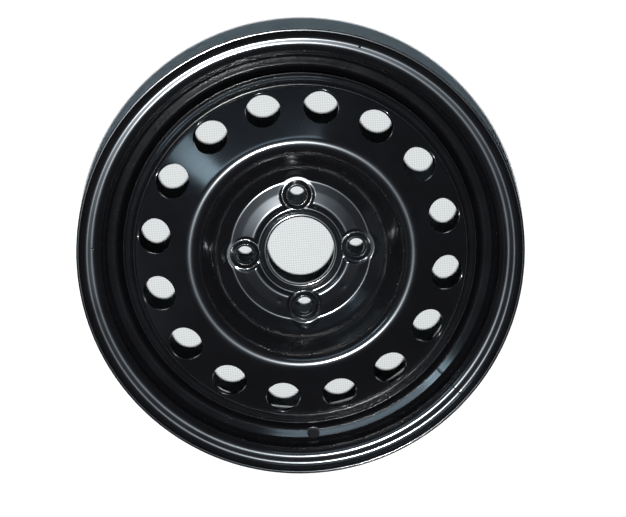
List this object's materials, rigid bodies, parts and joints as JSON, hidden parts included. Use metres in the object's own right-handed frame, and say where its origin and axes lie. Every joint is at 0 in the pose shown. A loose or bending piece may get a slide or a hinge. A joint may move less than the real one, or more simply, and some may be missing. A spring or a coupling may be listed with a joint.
{
  "type": "pressed steel wheel rim",
  "caption": "Black painted pressed steel car wheel: a rolled rim band with a drop well, and a domed disc with round vents, a bolt circle, a centre bore and a valve hole.",
  "frame": {"origin": "centre of the mounting face, on the wheel axis", "axes": "+Z along the wheel axis towards the outside of the car, +X and +Y through bolt holes, valve hole on -Y"},
  "size_m": [0.4148, 0.4146, 0.1764],
  "materials": {
    "rim_paint": "gloss black paint",
    "disc_paint": "gloss black paint",
    "weld_paint": "gloss black paint over weld"
  },
  "bodies": {
    "root": {"rim": "rim_paint", "disc": "disc_paint", "welds": "weld_paint"}
  },
  "joints": []
}
